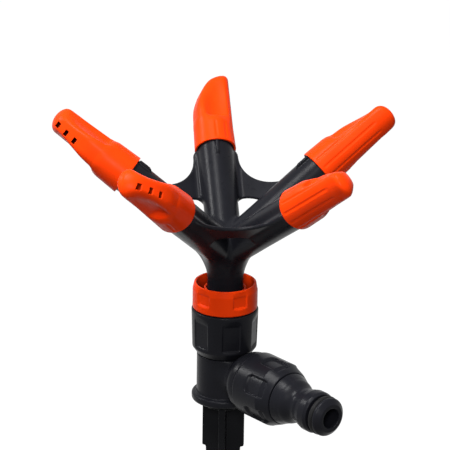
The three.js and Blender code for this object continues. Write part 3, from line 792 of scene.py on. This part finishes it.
ring_foot = coupling_top + gap
ring_top = high_of("retaining_ring", 2)
ring_low = low_of("retaining_ring", 2)
ring_radius = 13.25
ring_top_radius = 12.6
ring_bevel = 2.6
ring_wall = 0.85
ring_foot_wall = 1.5
ring_floor = 2.2
collar_in = neck_radius + 0.35
collar_out = collar_in + 1
collar_drop = 2.2
skirt_out = cup_radius - gap
skirt_in = skirt_out - 1.1
ring_outline = rounded([
    (collar_in, ring_foot), (skirt_in, ring_foot), (skirt_in, ring_low),
    (skirt_out, ring_low), (skirt_out, ring_foot), (ring_radius, ring_foot, 0.5),
    (ring_radius, ring_top - ring_bevel, 2), (ring_top_radius, ring_top, 0.3),
    (ring_top_radius - ring_wall, ring_top, 0.3),
    (ring_radius - ring_foot_wall, ring_foot + ring_floor, 0.8), (collar_out, ring_foot + ring_floor, 0.5),
    (collar_out, ring_top - collar_drop, 0.35), (collar_in, ring_top - collar_drop, 0.35),
])
ring_panel = {
    "count": 5, "width": 5.9, "depth": 0.85, "turn": -11, "corner": 1.0, "ramp": 0.95, "fade": 2.2,
    "curve": 0,
    "start": ring_foot + 2.8, "end": ring_top - 0.8,
}


def ring_distance(p):
    away, z = np.hypot(p[:, 0], p[:, 1]), p[:, 2]
    rise = np.maximum(z - ring_top + ring_bevel, 0) / ring_bevel
    surface = ring_radius + (ring_top_radius - ring_radius) * rise
    pocket = panel_pocket(np.arctan2(p[:, 1], p[:, 0]), away, z, ring_panel, surface)
    return less(inside_outline(away, z, ring_outline), pocket, pocket_edge)


# Painted shade inside the ring's cup, deepening downwards.
ring_inner = ring_top_radius - 0.4
ring_painted_shade_top = ring_top - 0.6
ring_painted_shade_spread = 5
ring_painted_shade_most = 0.75


def ring_painted_shade(p):
    """Painted shade inside the ring's cup: how far down inside the cup a point lies."""
    down = (ring_painted_shade_top - p[:, 2]) / ring_painted_shade_spread
    inside = np.hypot(p[:, 0], p[:, 1]) < ring_inner
    return np.where(inside, np.clip(down, 0, ring_painted_shade_most), 0)


union_start = low_of("union_nut", 0)
union_end = high_of("union_nut", 0)
union_radius = 13.3
union_face_radius = 10.9
union_taper = 5.2
stem_radius = 9.2
union_web_start = stub_end + 5.1
union_outline = rounded([
    (union_start, branch_thread_radius + gap), (union_start, union_radius, 0.9),
    (union_end - union_taper, union_radius, 1.0), (union_end, union_face_radius, 0.35),
    (union_end, stem_radius + gap), (union_web_start, stem_radius + gap),
    (union_web_start, branch_thread_radius + gap),
])
union_panel = {
    "count": 6, "width": 7.2, "depth": 1.05, "turn": 3.5, "corner": 1.8, "ramp": 0.9, "fade": 0.9, "curve": 1,
    "start": union_end - 12.8, "end": union_end - 2.6,
}


def union_distance(p):
    y, z = p[:, 1], p[:, 2] - branch_height
    x, away = p[:, 0], np.hypot(y, z)
    drop = np.maximum(x - union_end + union_taper, 0) / union_taper
    surface = union_radius - (union_radius - union_face_radius) * drop
    pocket = panel_pocket(np.arctan2(y, -z), away, x, union_panel, surface)
    return less(inside_outline(x, away, union_outline), pocket, union_pocket_edge)


# ---- hose adaptor ------------------------------------------------------------------------------
adaptor_start = low_of("hose_adaptor", 0)
nose_end = high_of("hose_adaptor", 0)
adaptor_bore = 4.1
snap_radius = 10.1
snap_thickness = 2.2
disc_start = union_end + gap
disc_radius = 10.7
disc_end = disc_start + 3.5
disc_end_radius = 9.2
waist_at = 49.5
waist_radius = 6.9
bead_start = 54
bead_radius = 8.55
bead_end = 60.4
bead_end_radius = 7.9
seal_slack = 0.8
nose_radius = 7.9
nose_face = 5.7
seal_groove = {"width": 2.9, "depth": 2.4, "section": 2.3}


def adaptor_outline():
    """Radius and distance along X, anticlockwise, from the bore's inner end."""
    waist = []
    for i in range(1, 13):
        t = i / 12
        swell = (1 + math.cos(t * math.pi)) / 2
        radius = waist_radius + (disc_end_radius - waist_radius) * swell
        waist.append((radius, disc_end + (waist_at - disc_end) * t))
    rise = []
    for i in range(1, 9):
        t = i / 9
        swell = (1 - math.cos(t * math.pi)) / 2
        radius = waist_radius + (bead_radius - 0.3 - waist_radius) * swell
        rise.append((radius, waist_at + (bead_start + 0.6 - waist_at) * t))
    groove = nose_radius - seal_groove["depth"]
    groove_end = bead_end + seal_groove["width"]
    bead_foot = bead_end - seal_slack
    return rounded([
        (adaptor_bore, adaptor_start, 0.3), (snap_radius, adaptor_start, 0.6),
        (snap_radius, adaptor_start + snap_thickness, 0.2),
        (stem_radius, adaptor_start + snap_thickness, 0.1),
        (stem_radius, disc_start, 0.1), (disc_radius, disc_start, 0.3),
        (disc_end_radius + 0.15, disc_end - 0.2, 0.5),
        *waist, *rise, (bead_radius, bead_start + 1.2, 0.5), (bead_radius, bead_foot - 1.2, 1.2),
        (bead_end_radius, bead_foot, 0.4), (groove, bead_foot, 0.2), (groove, groove_end, 0.2),
        (nose_radius, groove_end, 0.35),
        (nose_radius, nose_end - 1.9, 1.4), (nose_face, nose_end, 0.8), (adaptor_bore, nose_end, 0.4),
    ])


def seal_outline(middle, radius, section):
    angles = np.arange(20) * TAU / 20
    return [(radius + section / 2 * math.cos(a), middle + section / 2 * math.sin(a)) for a in angles]


# ---- stake -------------------------------------------------------------------------------------
stake_tip = low_of("ground_stake", 2)
rib_top = foot_height - gap
rib_thickness = 2.6
rib_radius = 8.6
blade_radius = 7.1
blade_low_radius = 5.5
blade_foot = -106
point_radius = 0.9
plug_radius = 8
plug_depth = 6
stake_edge = 0.4
rib_fillet = 0.8
rib_outline = rounded([
    (-rib_radius, 0, 0.7), (-blade_radius, 0, 0.3), (-blade_low_radius, blade_foot, 2),
    (-point_radius, stake_tip, 0.5), (point_radius, stake_tip, 0.5), (blade_low_radius, blade_foot, 2),
    (blade_radius, 0, 0.3), (rib_radius, 0, 0.7), (rib_radius, rib_top, 0.3),
    (-rib_radius, rib_top, 0.3),
])


def stake_distance(p):
    """Four ribs, a quarter turn apart and an eighth of a turn round from the branch, and the plug."""
    z = p[:, 2]
    one_way = (p[:, 0] + p[:, 1]) / math.sqrt(2)
    other_way = (p[:, 1] - p[:, 0]) / math.sqrt(2)
    half = rib_thickness / 2
    one = meet(inside_outline(one_way, z, rib_outline), np.abs(other_way) - half, stake_edge)
    two = meet(inside_outline(other_way, z, rib_outline), np.abs(one_way) - half, stake_edge)
    plug_end = rib_top + plug_depth
    plug = np.hypot(one_way, other_way) - plug_radius
    plug = meet(plug, between(z, rib_top - rib_thickness, plug_end), stake_edge)
    return union(union(one, two, rib_fillet), plug, stake_edge)


# ---- the pieces --------------------------------------------------------------------------------
def box_of(node):
    low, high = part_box(node)
    return np.array(low) / MM, np.array(high) / MM


def shaped_piece(cad_node, distance, step, body, depth=None):
    shape = shape_of(distance, *box_of(cad_node), step)
    # The optional depth function gives each vertex its painted shade down a hole.
    placed(cad_node, shape, body, depth and depth(shape[0]))


fine = 1.0
shaped_piece("rotor_manifold", rotor_distance, 0.5 * fine, "rotor")
shaped_piece("tee_body", tee_distance, 0.4 * fine, "base")
shaped_piece("coupling_nut", coupling_distance, 0.33 * fine, "base")
# The ring's cup gets painted shade.
shaped_piece("retaining_ring", ring_distance, 0.3 * fine, "base", ring_painted_shade)
shaped_piece("union_nut", union_distance, 0.33 * fine, "union_nut")
shaped_piece("ground_stake", stake_distance, 0.5 * fine, "base")

cap_low = (0, -rim_radius, -rim_radius)
cap_high = (nozzle_length, rim_radius, rim_radius)
cap_vertices, cap_quads, cap_normals = shape_of(nozzle_distance, cap_low, cap_high, 0.3 * fine)
# Painted shade down the caps' slots and at their rim.
cap_painted_shade = painted_shade_in_cap(cap_vertices)
for i in range(arm_count):
    cap = f"nozzle_{i + 1}"
    azimuth = math.atan2(arm_axis(i)[1], arm_axis(i)[0])
    turn = (
        Matrix.Rotation(azimuth, 3, "Z") @ Matrix.Rotation(-arm_tilt, 3, "Y")
        @ Matrix.Rotation(nozzle_turn(i), 3, "X")
    )
    turn = np.array(turn).T
    shape = nozzle_place(i) + cap_vertices @ turn, cap_quads, cap_normals @ turn
    placed(cap, shape, cap, cap_painted_shade)

placed("hose_adaptor", turned(adaptor_outline(), branch_height), "hose_adaptor")
seal_middle = bead_end + seal_groove["width"] / 2
seal_radius = nose_radius - seal_groove["depth"] + gap + seal_groove["section"] / 2
seal = turned(seal_outline(seal_middle, seal_radius, seal_groove["section"]), branch_height)
placed("adaptor_o_ring", seal, "hose_adaptor")

for name, cad_node in frame["nodes"].items():
    cad_node.data.materials.clear()
    cad_node.data.materials.append(finishes[slots[name]])


# ---- floor, light and camera -------------------------------------------------------------------
def seen_directly(tree):
    """1 for rays from the camera and for reflected or refracted ones, 0 for the rest."""
    path = node(tree, "ShaderNodeLightPath")
    seen = node(tree, "ShaderNodeMath", operation="MAXIMUM")
    both = node(tree, "ShaderNodeMath", operation="MAXIMUM")
    tree.links.new(path.outputs["Is Camera Ray"], seen.inputs[0])
    tree.links.new(path.outputs["Is Glossy Ray"], seen.inputs[1])
    tree.links.new(seen.outputs[0], both.inputs[0])
    tree.links.new(path.outputs["Is Transmission Ray"], both.inputs[1])
    return both.outputs[0]


floor_half = 6.0
floor_drop = 0.0005
floor_colour = (0.07, 0.07, 0.07, 1)
floor_glow = 0.99
world_light = 0.06


def floor():
    level = cad_bounds[0][2] - floor_drop
    mesh = bpy.data.meshes.new("floor")
    square = ((-1, -1), (1, -1), (1, 1), (-1, 1))
    corners = [(x * floor_half, y * floor_half, level) for x, y in square]
    mesh.from_pydata(corners, [], [(0, 1, 2, 3)])
    made = bpy.data.objects.new("floor", mesh)
    bpy.context.scene.collection.objects.link(made)
    material = bpy.data.materials.new("floor_white")
    material.use_nodes = True
    tree = material.node_tree
    tree.nodes.clear()
    output = node(tree, "ShaderNodeOutputMaterial")
    white = node(tree, "ShaderNodeBsdfDiffuse")
    white.inputs["Color"].default_value = floor_colour
    glow = node(tree, "ShaderNodeEmission")
    scaled = node(tree, "ShaderNodeMath", operation="MULTIPLY")
    scaled.inputs[1].default_value = floor_glow
    tree.links.new(seen_directly(tree), scaled.inputs[0])
    tree.links.new(scaled.outputs[0], glow.inputs["Strength"])
    total = node(tree, "ShaderNodeAddShader")
    tree.links.new(white.outputs[0], total.inputs[0])
    tree.links.new(glow.outputs[0], total.inputs[1])
    tree.links.new(total.outputs[0], output.inputs["Surface"])
    mesh.materials.append(material)


def surroundings():
    """White to the eye and to reflections, softer as light."""
    world = bpy.data.worlds.new("studio")
    bpy.context.scene.world = world
    world.use_nodes = True
    tree = world.node_tree
    tree.nodes.clear()
    output = node(tree, "ShaderNodeOutputWorld")
    light = node(tree, "ShaderNodeBackground")
    light.inputs["Strength"].default_value = world_light
    shown = node(tree, "ShaderNodeBackground")
    shown.inputs["Strength"].default_value = 1.0
    for background in (light, shown):
        background.inputs["Color"].default_value = (1, 1, 1, 1)
    mix = node(tree, "ShaderNodeMixShader")
    tree.links.new(seen_directly(tree), mix.inputs["Fac"])
    tree.links.new(light.outputs[0], mix.inputs[1])
    tree.links.new(shown.outputs[0], mix.inputs[2])
    tree.links.new(mix.outputs[0], output.inputs["Surface"])


def softbox(name, place, target, size, power):
    lamp = bpy.data.lights.new(name, "AREA")
    lamp.shape = "RECTANGLE"
    lamp.size, lamp.size_y = size
    lamp.energy = power
    made = bpy.data.objects.new(name, lamp)
    made.location = place
    made.rotation_euler = (Vector(target) - Vector(place)).to_track_quat("-Z", "Y").to_euler()
    bpy.context.scene.collection.objects.link(made)


camera_place = Vector((0.89278, -0.74972, 0.5221))
camera_forward = Vector((-0.71966, 0.60387, -0.3427))
camera_right = Vector((0.64279, 0.76604, 0))
camera_roll = math.radians(0.79)
hub = Vector((0, 0, 0.1))
across = camera_right
toward = Vector((-camera_forward.x, -camera_forward.y, 0)).normalized()
up = Vector((0, 0, 1))


def studio_place(right, near, height):
    """A place given as seen from the camera: right of the sprinkler, nearer, and up, in metres."""
    return hub + across * right + toward * near + up * height


def camera():
    data = bpy.data.cameras.new("camera")
    data.lens = 246.2
    data.sensor_width = 36
    made = bpy.data.objects.new("camera", data)
    above = camera_right.cross(camera_forward)
    right = camera_right * math.cos(camera_roll) + above * math.sin(camera_roll)
    above = above * math.cos(camera_roll) - camera_right * math.sin(camera_roll)
    turn = Matrix((right, above, -camera_forward)).transposed()
    made.matrix_world = Matrix.Translation(camera_place) @ turn.to_4x4()
    bpy.context.scene.collection.objects.link(made)
    bpy.context.scene.camera = made


floor()
surroundings()
softbox("key", studio_place(-0.25, 0.25, 0.95), hub, (0.42, 0.42), 16)
softbox("fill", studio_place(-0.05, 1.0, 0.5), hub, (0.3, 0.3), 7)
softbox("side", studio_place(-0.9, -0.25, 0.6), hub, (0.2, 0.2), 5)
camera()
bpy.context.scene.view_settings.view_transform = "Standard"
